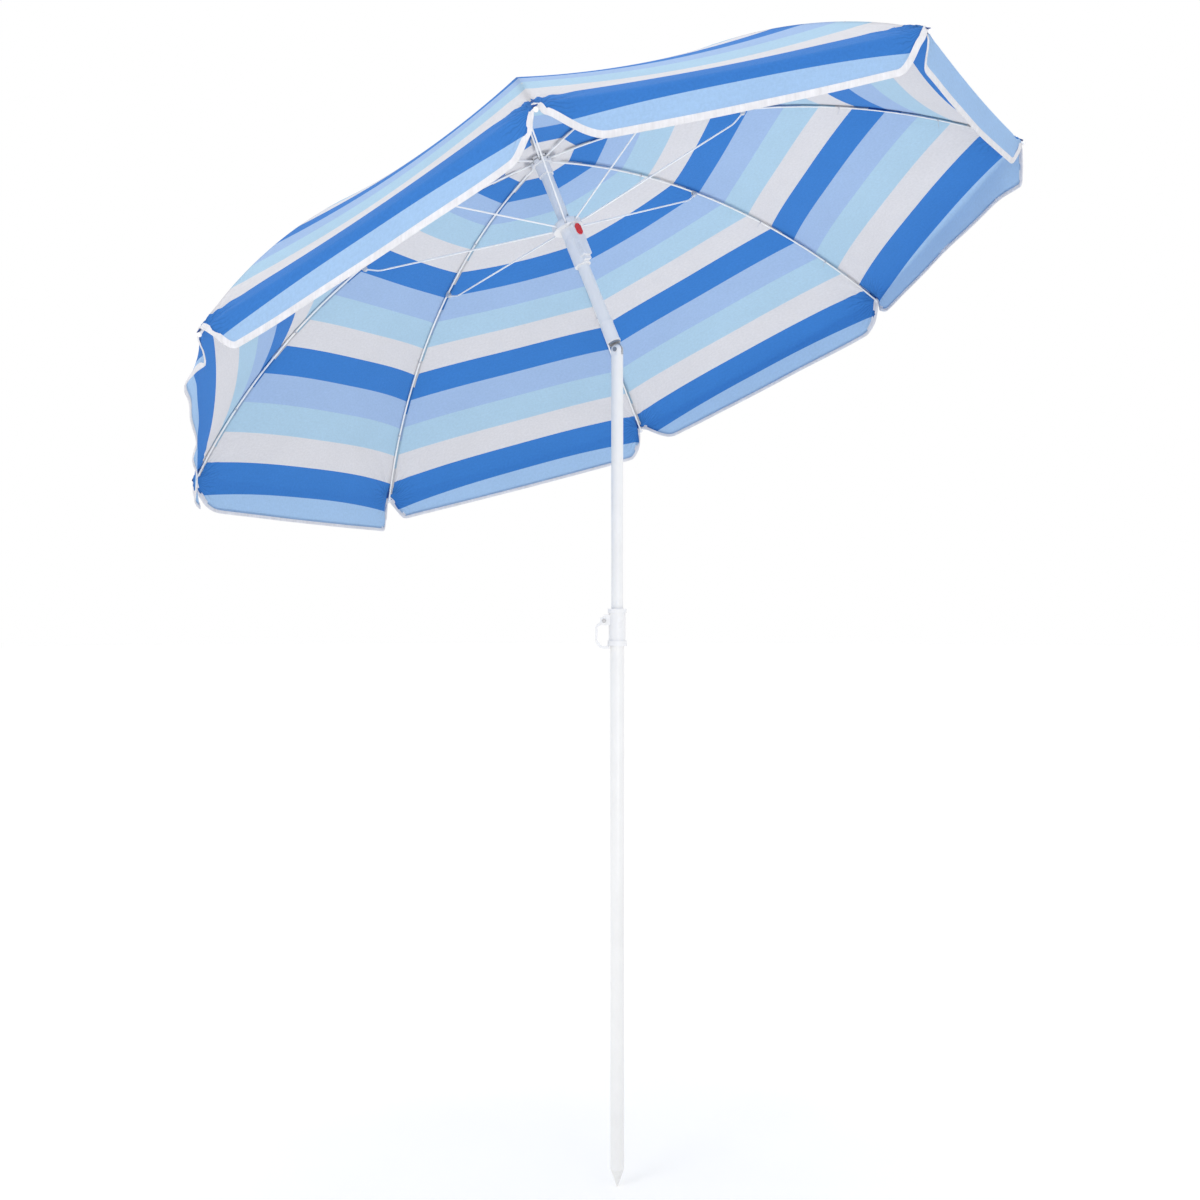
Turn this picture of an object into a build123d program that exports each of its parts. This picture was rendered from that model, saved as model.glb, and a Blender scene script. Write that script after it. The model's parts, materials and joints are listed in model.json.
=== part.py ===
"""Tilting beach umbrella: a spiked ground pole, a clamped telescopic middle pole, a tilt knuckle,
and an upper pole with crown, runner, eight sprung wire ribs, eight struts and a striped canopy.

The origin is on the ground pole's axis, where the tube ends and the spike begins. +Z is up.
The upper pole leans by LEAN towards LEAN_HEADING, and its pieces are drawn upright around the
tilt rivet and then placed with the UPPER plane. Lengths are in millimetres, angles in degrees.
"""

import os
from math import asin, cos, degrees, radians, sin, sqrt

from build123d import *

# --- poles -------------------------------------------------------------------------------------
GROUND_R, GROUND_BORE_R = 14.0, 13.2
GROUND_TOP = 1095.0
SWAGE_START, SWAGE_R = 1040.0, 13.7  # the tube's end is drawn in a little for the collar
MIDDLE_R, MIDDLE_BORE_R = 12.0, 11.2
MIDDLE_FOOT = 905.0
UPPER_R, UPPER_BORE_R = 12.5, 11.5
SPIKE_LENGTH, SPIKE_END_R = 36.0, 2.0
PLUG = 30.0  # how far a fitting reaches into a tube's end
BUSH_LENGTH = 14.0
TIGHT = 0.02  # radial room between two pieces that are fastened together
SLIDING = 0.05  # radial room of a running fit

# --- clamp collar and lever --------------------------------------------------------------------
COLLAR_FOOT, COLLAR_TOP, COLLAR_R = 1050.0, 1125.0, 17.0
COLLAR_FLANGE_R, COLLAR_FLANGE = 19.5, 11.0
COLLAR_RIM_R, COLLAR_RIM = 19.0, 9.0
LEVER_X, LEVER_Z = -26.5, 1100.8
LEVER_WIDTH, LEVER_THICK = 12.0, 5.0
LEVER_BOSS_R, LEVER_PIN_R = 6.5, 2.5
EAR_THICK = 3.0

# --- tilt knuckle ------------------------------------------------------------------------------
TILT_Z = 1645.3
LEAN, LEAN_HEADING = 23.7, 153.0
TONGUE_THICK, TONGUE_R = 8.0, 9.6
TILT_RIVET_R, TILT_HEAD_R, TILT_HEAD = 3.0, 4.6, 1.2
FORK_HALF, FORK_SLOT_ROOM = 11.0, 0.2
NECK = 12.3  # from the rivet down to the middle pole's end
SHOULDER = 13.0  # from the rivet up to the tongue's shoulder
POLE_START, POLE_END = 17.0, 424.0
SLEEVE_START, SLEEVE_LENGTH = 17.5, 46.0
SLEEVE_R, SLEEVE_BORE_R = 13.5, 12.6
SLEEVE_BAND, SLEEVE_BAND_R = 4.0, 14.1

# --- crown and runner --------------------------------------------------------------------------
RIBS = 8
FIRST_RIB = 67.3  # heading of rib 1, from the lean side towards the rivet's axis
SECTOR = 360.0 / RIBS
CROWN_D, CROWN_R, CROWN_RING_R = 438.0, 22.0, 17.0
CROWN_BELOW, CROWN_ABOVE = 10.0, 6.0  # the hub's reach on either side of the ribs' centres
CROWN_NECK, CROWN_NECK_R = 34.0, 15.5
CROWN_SLOT, RUNNER_SLOT = 2.4, 2.2  # half widths
RING_WIRE_R = 1.2
FINIAL_STEM_R, FINIAL_DISC_R, FINIAL_CONE_R, FINIAL_BALL_R = 3.5, 19.0, 8.0, 8.5
FINIAL_DISC, FINIAL_CONE = 2.0, 5.0  # thicknesses
STOP_PIN_R = 2.0
RUNNER_D, RUNNER_RING_R = 283.5, 27.0
RUNNER_FOOT, RUNNER_TOP, RUNNER_R = 193.0, 300.0, 17.0
RUNNER_FLANGE_R = 31.0
LATCH_RIB = 6  # the latch housing is under this rib, counted from 0
HOUSING_OUT, HOUSING_WIDTH = 27.0, 21.0
BUTTON_D, BUTTON_OUT, BUTTON_DEEP = 262.0, 2.5, 8.3
BUTTON_HALF_WIDTH, BUTTON_HALF_HEIGHT = 7.5, 12.0

# --- ribs, struts and canopy -------------------------------------------------------------------
RIB_R, STRUT_R = 2.0, 1.7
RIB_ARC_START, RIB_ARC_R = 25.0, 1253.0
RIM_R, BRACKET_R = 900.0, 421.0
PIVOT_DROP = 7.0  # from the rib's centre down to the strut's rivet
STRUT_RIVET_R, STRUT_EYE_R = 1.5, 3.7
OPEN_PIVOT_ROOM = 0.6  # radial room around the strut's outer rivet
STRUT_BEND_BACK, STRUT_BEND_DROP, STRUT_BEND_R = 26.0, 15.0, 45.0
EYE_R, EYE_HALF = 3.4, 1.4
TIP_CAP_R, TIP_CAP_LENGTH, TIP_BALL_R, TIP_BALL_OUT = 2.9, 8.0, 4.2, 5.0
CHEEK_IN, CHEEK_OUT = 2.05, 3.15  # a bracket's cheeks, from the middle of the rib
CLOTH = 1.0
CLOTH_LIFT = 4.2  # from a rib's centre up to the cloth's underside
CLOTH_START, CLOTH_END = 26.0, 896.0
CLOTH_STRIPS = 7
CLOTH_GAP = 0.3
FLAP_DROP, FLAP_NOTCH = 75.0, 14.0

UPRIGHT = (Align.CENTER, Align.CENTER, Align.MIN)


def rod(radius, start, end):
    """A cylinder on the Z axis from start to end."""
    return Pos(0, 0, start) * Cylinder(radius, end - start, align=UPRIGHT)


def tube(radius, bore, start, end):
    return rod(radius, start, end) - rod(bore, start, end)


def cross_rod(radius, half_length, x=0.0, z=0.0):
    """A cylinder along Y through (x, z)."""
    return Pos(x, 0, z) * Rot(90, 0, 0) * Cylinder(radius, 2 * half_length)


def block(x, y, z):
    """A box from three (low, high) pairs."""
    size = [high - low for low, high in (x, y, z)]
    centre = [(high + low) / 2 for low, high in (x, y, z)]
    return Pos(*centre) * Box(*size)


def torus(ring_radius, wire_radius, height):
    return Pos(0, 0, height) * Torus(ring_radius, wire_radius)


def heading(index):
    return FIRST_RIB - SECTOR * index


def tilted_frames():
    """The upright frame on the tilt rivet, and the one that leans with the upper pole."""
    turn, lean = radians(LEAN_HEADING), radians(LEAN)
    side = (cos(turn), sin(turn), 0)
    down_side = (cos(turn) * cos(lean), sin(turn) * cos(lean), -sin(lean))
    axis = (cos(turn) * sin(lean), sin(turn) * sin(lean), cos(lean))
    rivet = (0, 0, TILT_Z)
    return (
        Plane(origin=rivet, x_dir=side, z_dir=(0, 0, 1)).location,
        Plane(origin=rivet, x_dir=down_side, z_dir=axis).location,
    )


KNUCKLE, UPPER = tilted_frames()


def rib_turn(radius):
    """How far the rib has turned down at that radius."""
    return degrees(asin((radius - RIB_ARC_START) / RIB_ARC_R))


def rib_height(radius):
    reach = radius - RIB_ARC_START
    return CROWN_D - RIB_ARC_R + sqrt(RIB_ARC_R**2 - reach**2)


def on_rib(radius):
    """The frame on a rib's centre line: X along the rib and outwards, Z out of the dome."""
    return Pos(radius, 0, rib_height(radius)) * Rot(0, rib_turn(radius), 0)


def strut_ends():
    """The (radius, height) of a strut's runner pivot, its bend, and its rib pivot."""
    turn = radians(rib_turn(BRACKET_R))
    outer = (
        BRACKET_R - PIVOT_DROP * sin(turn),
        rib_height(BRACKET_R) - PIVOT_DROP * cos(turn),
    )
    bend = (outer[0] - STRUT_BEND_BACK, outer[1] - STRUT_BEND_DROP)
    return (RUNNER_RING_R, RUNNER_D), bend, outer


# --- ground pole, clamp and middle pole --------------------------------------------------------
def ground_pole():
    pole = tube(GROUND_R, GROUND_BORE_R, 0, SWAGE_START)
    return pole + tube(SWAGE_R, GROUND_BORE_R, SWAGE_START, GROUND_TOP)


def spike_tip():
    """A driven point: a plug inside the tube and a blunt cone below it."""
    plug = rod(GROUND_BORE_R - TIGHT, 0, PLUG)
    cone_height = SPIKE_LENGTH - SPIKE_END_R
    cone = Pos(0, 0, -cone_height) * Cone(SPIKE_END_R, GROUND_R, cone_height, align=UPRIGHT)
    return plug + cone + Pos(0, 0, -cone_height) * Sphere(SPIKE_END_R)


def clamp_collar():
    """A split collar: it sits on the ground pole's end and grips the middle pole above it."""
    collar = rod(COLLAR_R, COLLAR_FOOT, COLLAR_TOP)
    collar += rod(COLLAR_FLANGE_R, COLLAR_FOOT, COLLAR_FOOT + COLLAR_FLANGE)
    collar += rod(COLLAR_RIM_R, COLLAR_TOP - COLLAR_RIM, COLLAR_TOP)
    ear_span = (LEVER_WIDTH / 2 + 0.2, LEVER_WIDTH / 2 + 0.2 + EAR_THICK)
    for side in (1, -1):
        span = sorted(side * y for y in ear_span)
        ear = block((LEVER_X, -10), span, (LEVER_Z - 9, LEVER_Z + 12))
        middle = sum(span) / 2
        ear += Pos(0, middle, 0) * cross_rod(9, EAR_THICK / 2, LEVER_X, LEVER_Z)
        collar += ear
    collar -= rod(SWAGE_R + TIGHT, COLLAR_FOOT, GROUND_TOP + 1)
    collar -= rod(MIDDLE_R + SLIDING, GROUND_TOP + 1, COLLAR_TOP)
    collar -= block((-24, -8), (-1.2, 1.2), (COLLAR_FOOT + COLLAR_FLANGE, COLLAR_TOP))
    return collar - cross_rod(LEVER_PIN_R + TIGHT, 20, LEVER_X, LEVER_Z)


def clamp_lever():
    """A D-shaped strap: it starts at the screw, bows out for the fingers and hooks under the collar."""
    outline = [
        (LEVER_X - 1, LEVER_Z - 2),
        (LEVER_X - 15.5, LEVER_Z - 11),
        (LEVER_X - 15.5, COLLAR_FOOT + 10),
        (LEVER_X - 6, COLLAR_FOOT - LEVER_THICK / 2 - 0.4),
        (-GROUND_R - 1.2, COLLAR_FOOT - LEVER_THICK / 2 - 0.4),
    ]
    strap = Plane.XZ * trace(FilletPolyline(*outline, radius=9), LEVER_THICK)
    lever = extrude(strap, LEVER_WIDTH / 2, both=True)
    lever += cross_rod(LEVER_BOSS_R, LEVER_WIDTH / 2, LEVER_X, LEVER_Z)
    return lever - cross_rod(LEVER_PIN_R + SLIDING, 20, LEVER_X, LEVER_Z)


def lever_screw():
    reach = LEVER_WIDTH / 2 + EAR_THICK + 0.3
    screw = cross_rod(LEVER_PIN_R, reach, LEVER_X, LEVER_Z)
    for side in (1, -1):
        screw += Pos(0, side * (reach + 0.7), 0) * cross_rod(4.2, 0.8, LEVER_X, LEVER_Z)
    return screw


def middle_pole():
    return tube(MIDDLE_R, MIDDLE_BORE_R, MIDDLE_FOOT, TILT_Z - NECK)


def pole_bush():
    """The plastic foot that guides the middle pole inside the ground pole."""
    guide = rod(GROUND_BORE_R - SLIDING, MIDDLE_FOOT - BUSH_LENGTH, MIDDLE_FOOT)
    return guide + rod(MIDDLE_BORE_R - TIGHT, MIDDLE_FOOT, MIDDLE_FOOT + PLUG)


# --- tilt knuckle ------------------------------------------------------------------------------
def tilt_fork():
    """A domed knuckle on the middle pole, slotted for the tongue."""
    knuckle = rod(MIDDLE_R, -NECK, 0) + Sphere(MIDDLE_R)
    knuckle &= block((-20, 20), (-FORK_HALF, FORK_HALF), (-NECK, 20))
    half_slot = TONGUE_THICK / 2 + FORK_SLOT_ROOM
    knuckle -= block((-20, 20), (-half_slot, half_slot), (-TONGUE_R - 0.3, 20))
    knuckle -= cross_rod(TILT_RIVET_R + TIGHT, 20)
    return KNUCKLE * (knuckle + rod(MIDDLE_BORE_R - TIGHT, -NECK - PLUG, -NECK))


def tilt_tongue():
    """The tongue that turns in the fork, with a shoulder and a plug for the upper pole."""
    half = TONGUE_THICK / 2
    tongue = cross_rod(TONGUE_R, half)
    tongue += block((-TONGUE_R, TONGUE_R), (-half, half), (0, SHOULDER))
    tongue += rod(UPPER_R, SHOULDER, POLE_START)
    tongue += rod(UPPER_BORE_R - TIGHT, POLE_START, POLE_START + PLUG)
    return UPPER * (tongue - cross_rod(TILT_RIVET_R + SLIDING, 20))


def tilt_rivet():
    reach = FORK_HALF + 0.1
    rivet = cross_rod(TILT_RIVET_R, reach)
    for side in (1, -1):
        rivet += Pos(0, side * (reach + TILT_HEAD / 2), 0) * cross_rod(TILT_HEAD_R, TILT_HEAD / 2)
    return KNUCKLE * rivet


def tilt_sleeve():
    """The sleeve on the upper pole that is pushed down over a straight knuckle to lock it."""
    end = SLEEVE_START + SLEEVE_LENGTH
    sleeve = tube(SLEEVE_R, SLEEVE_BORE_R, SLEEVE_START, end)
    for height in (SLEEVE_START, end - SLEEVE_BAND):
        sleeve += tube(SLEEVE_BAND_R, SLEEVE_BORE_R, height, height + SLEEVE_BAND)
    return UPPER * sleeve


# --- upper pole, crown and runner --------------------------------------------------------------
def upper_pole():
    pole = tube(UPPER_R, UPPER_BORE_R, POLE_START, POLE_END)
    return UPPER * (pole - stop_pin_shape(TIGHT))


def stop_pin_shape(room):
    pin = Rot(0, 90, 0) * Cylinder(STOP_PIN_R + room, 2 * (UPPER_R + 1.2))
    return Rot(0, 0, heading(LATCH_RIB)) * Pos(0, 0, RUNNER_TOP + 3) * pin


def slots(half_width, inner, outer, low, high):
    """Eight radial slots, one for each rib."""
    slot = block((inner, outer), (-half_width, half_width), (low, high))
    return [Rot(0, 0, heading(i)) * slot for i in range(RIBS)]


def crown():
    """The hub on the upper pole's end: slots for the ribs and a groove round it for their ring."""
    neck, low, high = CROWN_D - CROWN_NECK, CROWN_D - CROWN_BELOW, CROWN_D + CROWN_ABOVE
    hub = rod(CROWN_R, low, high) + rod(CROWN_NECK_R, neck, low)
    hub -= rod(UPPER_R + TIGHT, neck, POLE_END)
    hub -= rod(FINIAL_STEM_R + TIGHT, POLE_END, high)
    for slot in slots(CROWN_SLOT, 11, CROWN_R + 1, low + 3, high + 1):
        hub -= slot
    groove = RING_WIRE_R + TIGHT
    hub -= tube(CROWN_R + 1, CROWN_RING_R - groove, CROWN_D - groove, CROWN_D + groove)
    return UPPER * hub


def crown_patch():
    """The round patch of cloth over the crown."""
    foot = CROWN_D + CROWN_ABOVE + 0.2
    return UPPER * tube(CLOTH_START - 1, 4.0, foot, foot + CLOTH)


def finial():
    """The screw-on cap that holds the cloth on the crown."""
    foot = CROWN_D + CROWN_ABOVE + CLOTH + 0.4
    shoulder = foot + FINIAL_DISC
    cap = rod(FINIAL_STEM_R, POLE_END + 2, foot + 1) + rod(FINIAL_DISC_R, foot, shoulder)
    cap += Pos(0, 0, shoulder) * Cone(FINIAL_DISC_R, FINIAL_CONE_R, FINIAL_CONE, align=UPRIGHT)
    return UPPER * (cap + Pos(0, 0, foot + 13) * Sphere(FINIAL_BALL_R))


def runner():
    """The sliding sleeve, with the strut flange at its top and the latch housing on one side."""
    body = rod(RUNNER_R, RUNNER_FOOT, RUNNER_D) + rod(15.5, RUNNER_D, RUNNER_TOP)
    body += rod(RUNNER_FLANGE_R, RUNNER_D - 6, RUNNER_D + 6.5)
    for slot in slots(RUNNER_SLOT, 21, RUNNER_FLANGE_R + 1, RUNNER_D - 4.2, RUNNER_D + 7):
        body -= slot
    body -= torus(RUNNER_RING_R, RING_WIRE_R + TIGHT, RUNNER_D)
    top, low = RUNNER_D - 6, RUNNER_FOOT + 12
    face = Plane.YZ * Pos(0, (top + low) / 2) * RectangleRounded(HOUSING_WIDTH, top - low, 3)
    housing = Pos(10, 0, 0) * extrude(face, HOUSING_OUT - 10, dir=(1, 0, 0))
    housing += block((10, HOUSING_OUT - 4), (-8, 8), (low - 8, low + 2))
    housing -= Pos(HOUSING_OUT - 9.4, 0, 0) * button_shape(0.15, 12)
    body += Rot(0, 0, heading(LATCH_RIB)) * housing
    return UPPER * (body - rod(UPPER_R + 2 * SLIDING, RUNNER_FOOT, RUNNER_TOP))


def button_shape(room, depth):
    """The button's long eight-sided outline, drawn out along X."""
    half_width, half_height = BUTTON_HALF_WIDTH + room, BUTTON_HALF_HEIGHT + room
    corner = [(3.5, half_height), (half_width, 6.5), (half_width, -6.5), (3.5, -half_height)]
    outline = corner + [(-y, z) for y, z in reversed(corner)]
    face = Plane.YZ * Pos(0, BUTTON_D) * make_face(Polyline(*outline, close=True))
    return extrude(face, depth, dir=(1, 0, 0))


def release_button():
    inner = HOUSING_OUT + BUTTON_OUT - BUTTON_DEEP
    return UPPER * Rot(0, 0, heading(LATCH_RIB)) * Pos(inner, 0, 0) * button_shape(0, BUTTON_DEEP)


# --- ribs, struts and canopy -------------------------------------------------------------------
def wire(path, radius):
    """A round wire along a path that starts flat or sloping in the XZ plane."""
    start = path @ 0
    return sweep(Plane(origin=start, z_dir=path % 0) * Circle(radius), path=path)


def rib():
    """A spring wire with an eye for the crown ring, straight to the crown's edge and then bowed."""
    straight = Line((CROWN_RING_R, 0, CROWN_D), (RIB_ARC_START, 0, CROWN_D))
    bow_points = [(r, 0, rib_height(r)) for r in (RIB_ARC_START, BRACKET_R, RIM_R)]
    bow = ThreePointArc(*bow_points)
    body = wire(straight, RIB_R) + wire(bow, RIB_R)
    body += cross_rod(EYE_R, EYE_HALF, CROWN_RING_R, CROWN_D)
    return body - cross_rod(RING_WIRE_R + 0.2, 5, CROWN_RING_R, CROWN_D)


def rib_bracket():
    """Two cheeks joined by a small bar, and the rivet that the strut turns on."""
    cheeks = []
    for side in (1, -1):
        span = sorted((side * CHEEK_IN, side * CHEEK_OUT))
        plate = block((-5.5, 5.5), span, (-7, 1.4))
        plate += Pos(0, sum(span) / 2, 0) * cross_rod(4.6, 0.55, 0, -PIVOT_DROP)
        cheeks.append(plate)
    strap = cheeks[0] + cheeks[1] + cross_rod(1.0, 2.5, 4.3, -3.3)
    strap -= cross_rod(STRUT_RIVET_R + TIGHT, 10, 0, -PIVOT_DROP)
    rivet = cross_rod(STRUT_RIVET_R, 4.0, 0, -PIVOT_DROP)
    for side in (1, -1):
        rivet += Pos(0, side * 3.7, 0) * cross_rod(2.7, 0.5, 0, -PIVOT_DROP)
    return [on_rib(BRACKET_R) * strap, on_rib(BRACKET_R) * rivet]


def rib_tip():
    """The plastic cap on a rib's end, with a ball that the cloth's pocket hooks over."""
    cap = Rot(0, 90, 0) * rod(TIP_CAP_R, -TIP_CAP_LENGTH, TIP_BALL_OUT)
    cap += Pos(TIP_BALL_OUT, 0, 0) * Sphere(TIP_BALL_R)
    cap -= Rot(0, 90, 0) * rod(RIB_R + 0.25, -TIP_CAP_LENGTH, 0.2)
    return on_rib(RIM_R) * cap


def strut():
    inner, bend, outer = [(r, 0, d) for r, d in strut_ends()]
    body = wire(FilletPolyline(inner, bend, outer, radius=STRUT_BEND_R), STRUT_R)
    body += cross_rod(EYE_R, EYE_HALF, inner[0], inner[2])
    body += cross_rod(STRUT_EYE_R, EYE_HALF, outer[0], outer[2])
    body -= cross_rod(RING_WIRE_R + 0.15, 5, inner[0], inner[2])
    return body - cross_rod(STRUT_RIVET_R + OPEN_PIVOT_ROOM, 5, outer[0], outer[2])


def cloth_stations():
    """The (radius, height) of the cloth's underside along a rib, at even steps of the arc."""
    arc = RIB_ARC_R + CLOTH_LIFT
    first = asin((CLOTH_START - RIB_ARC_START) / arc)
    last = asin((CLOTH_END - RIB_ARC_START) / arc)
    turns = [first + (last - first) * k / CLOTH_STRIPS for k in range(CLOTH_STRIPS + 1)]
    return [
        (RIB_ARC_START + arc * sin(turn), CROWN_D - RIB_ARC_R + arc * cos(turn))
        for turn in turns
    ]


def sheet(corners, outwards):
    """A thin plate on a flat outline, thickened on its outer side."""
    face = Face(Wire.make_polygon([Vector(*p) for p in corners], close=True))
    normal = face.normal_at()
    if normal.dot(Vector(*outwards)) < 0:
        normal = -normal
    return extrude(face, CLOTH, dir=normal)


def half_panel(side):
    """The flat strips of cloth from a rib to the middle of the panel beside it, and half its flap."""
    turn = radians(side * SECTOR / 2)
    out = Vector(cos(turn), sin(turn), 0)
    along = Vector(sin(turn), -cos(turn), 0) * side  # from the panel's middle to the rib
    rows = []
    for radius, height in cloth_stations():
        middle = out * (radius * cos(turn)) + along * CLOTH_GAP + Vector(0, 0, height)
        rows.append((Vector(radius, 0, height), middle))
    strips = [
        sheet((rows[k][0], rows[k + 1][0], rows[k + 1][1], rows[k][1]), (out.X, out.Y, 1))
        for k in range(CLOTH_STRIPS)
    ]
    return strips, rows[-1], out, along


def gore(index):
    """The cloth that a rib carries: half of the panel on each side, with both halves' flaps."""
    place = Rot(0, 0, heading(index))
    fall = (place.inverse() * Pos(sin(radians(LEAN)), 0, -cos(radians(LEAN)))).position
    solids = []
    for side in (1, -1):
        strips, (at_rib, at_middle), out, along = half_panel(side)
        corner = at_rib - along * FLAP_NOTCH + fall * 0.6
        centre = at_middle + fall * 0.6
        flap = sheet((corner, centre, centre + fall * FLAP_DROP, corner + fall * FLAP_DROP), out)
        solids += strips + [flap]
    return [UPPER * place * solid for solid in solids]


# --- writing -----------------------------------------------------------------------------------
def save(name, solids):
    shapes = solids if isinstance(solids, list) else [solids]
    loose = [solid for shape in shapes for solid in shape.solids()]
    whole = loose[0] if len(loose) == 1 else Compound(children=loose)
    export_step(whole, f"parts/{name}.step")


os.makedirs("parts", exist_ok=True)
for make in (
    ground_pole, spike_tip, clamp_collar, clamp_lever, lever_screw, middle_pole, pole_bush,
    tilt_fork, tilt_tongue, tilt_rivet, tilt_sleeve, upper_pole, crown, crown_patch, finial,
    runner, release_button,
):
    save(make.__name__, make())
save("stop_pin", UPPER * stop_pin_shape(0))
save("crown_ring", UPPER * torus(CROWN_RING_R, RING_WIRE_R, CROWN_D))
save("runner_ring", UPPER * torus(RUNNER_RING_R, RING_WIRE_R, RUNNER_D))
for index in range(RIBS):
    here = UPPER * Rot(0, 0, heading(index))
    save(f"rib_{index + 1}", here * rib())
    save(f"rib_bracket_{index + 1}", [here * piece for piece in rib_bracket()])
    save(f"rib_tip_{index + 1}", here * rib_tip())
    save(f"strut_{index + 1}", here * strut())
    save(f"canopy_gore_{index + 1}", gore(index))
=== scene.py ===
"""The looks of a tilting beach umbrella: striped cloth with hanging flaps, tape, seams and ties,
and painted, moulded and plated finishes for the frame. Lengths are in metres.
"""

import json
from math import cos, pi, radians, sin, sqrt, tau

import bpy
import numpy as np
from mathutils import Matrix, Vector


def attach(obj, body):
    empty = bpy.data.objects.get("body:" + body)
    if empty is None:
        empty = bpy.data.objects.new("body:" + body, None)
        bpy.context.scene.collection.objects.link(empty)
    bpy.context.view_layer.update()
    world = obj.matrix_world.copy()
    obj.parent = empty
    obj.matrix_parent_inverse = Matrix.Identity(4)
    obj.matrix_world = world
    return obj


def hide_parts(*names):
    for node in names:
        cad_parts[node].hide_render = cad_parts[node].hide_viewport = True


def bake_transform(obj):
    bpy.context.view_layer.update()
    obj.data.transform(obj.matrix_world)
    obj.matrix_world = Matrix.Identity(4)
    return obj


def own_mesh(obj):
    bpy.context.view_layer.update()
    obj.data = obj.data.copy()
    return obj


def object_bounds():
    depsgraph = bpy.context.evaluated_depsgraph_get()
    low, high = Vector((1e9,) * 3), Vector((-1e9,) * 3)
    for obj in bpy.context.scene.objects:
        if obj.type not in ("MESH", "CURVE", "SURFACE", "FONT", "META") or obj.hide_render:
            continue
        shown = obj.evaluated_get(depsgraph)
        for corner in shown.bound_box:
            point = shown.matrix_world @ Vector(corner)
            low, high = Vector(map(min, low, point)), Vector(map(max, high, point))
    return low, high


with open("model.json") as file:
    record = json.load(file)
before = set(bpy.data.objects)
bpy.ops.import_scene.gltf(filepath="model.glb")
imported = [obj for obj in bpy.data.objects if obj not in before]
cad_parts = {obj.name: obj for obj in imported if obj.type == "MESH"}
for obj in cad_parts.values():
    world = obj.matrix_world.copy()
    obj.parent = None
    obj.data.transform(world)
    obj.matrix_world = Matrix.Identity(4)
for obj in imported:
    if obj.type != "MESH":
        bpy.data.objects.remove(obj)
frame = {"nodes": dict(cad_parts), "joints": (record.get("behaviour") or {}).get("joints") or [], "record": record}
CAD_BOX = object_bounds()
RIBS = 8


def smooth(low, high, x):
    t = np.clip((x - low) / (high - low), 0, 1)
    return t * t * (3 - 2 * t)


def unit(v):
    return v / np.linalg.norm(v, axis=-1, keepdims=True)


# --- the frame's own sizes, which the cloth follows ----------------------------------------------
CROWN_D = 0.438  # from the tilt rivet up the pole's axis to the ribs' centres at the crown
RIB_ARC_START, RIB_ARC_R = 0.025, 1.253
RIM_R = 0.900
HEM_INSIDE = 0.004  # the cloth's fold lies that far inside the ribs' ends

# --- cloth ---------------------------------------------------------------------------------------
CLOTH_LIFT = 0.0044  # above a rib's centre
CROWN_LIFT = 0.0070  # above the ribs' centres where the cloth lies on the crown
CROWN_LIE = (0.023, 0.060)  # radii between which the cloth comes down from the crown to the ribs
CLOTH_FOOT = 0.010  # radius of the hole for the finial's stem
SAG = 0.032  # sag of the cloth between two ribs, as a share of the span
HALF_COLUMNS = 36  # columns of mesh from a rib to the middle of a panel
CROWN_ROWS = (CLOTH_FOOT, 0.017, 0.023, 0.029, 0.036, 0.045, 0.056)  # distances from the axis
MIDDLE_ROWS = (0.068, 0.84, 0.0125)  # first, end and step of the rows' distances from the axis
HEM_ROWS, HEM_ROWS_FROM = 30, 0.848
FLAP_ROWS = 14
FOLD_LENGTH = 0.011  # the cloth turns down into the flap over that length
FOLD_STEPS = 40
HOOD, HOOD_RISE = 0.003, 0.0018  # how far the cloth is drawn out and up over each rib's tip
HOOD_WIDTH, HOOD_LENGTH = 0.011, 0.030
GATHER_DEPTH, GATHER_REACH, GATHER_PLEATS = 0.0040, 0.040, 17  # the pleats round a rib's tip
RIPPLE_DEPTH, RIPPLE_REACH = 0.0005, 0.022  # the waves along the seams
RIPPLE_LENGTHS = (0.047, 0.029)


class Flap:
    """How one flap hangs: its depth, corners, hang and waves.

    Each end is (depth, corner, shoulder). A corner is rounded over that length along the hem, and
    with a shoulder it first runs level from the tip. Upright is the share of plumb in its hang,
    the rest being square to the fold. A belly is (place across, width, height). Drawn is how much
    nearer to the crown the outer stripes lie at each end, as a share of STRIPE_SPAN.
    """

    def __init__(self, near, far, upright=0.5, waves=0.003, bellies=(), drawn=(0.0, 0.0)):
        self.ends, self.upright = (near, far), upright
        self.waves, self.bellies, self.drawn = waves, bellies, drawn

    def outline(self, across, span):
        share = (1 + across) / 2
        deep = self.ends[0][0] * (1 - share) + self.ends[1][0] * share
        for side, (_, corner, shoulder) in zip((-1, 1), self.ends):
            aside = np.clip(span / 2 * (1 - side * across) / corner, 0, 1)
            round_corner = np.sqrt(1 - (1 - aside) ** 2)
            deep = deep * (round_corner * (1 - shoulder) + smooth(0, 1, aside) * shoulder)
        return deep


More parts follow.
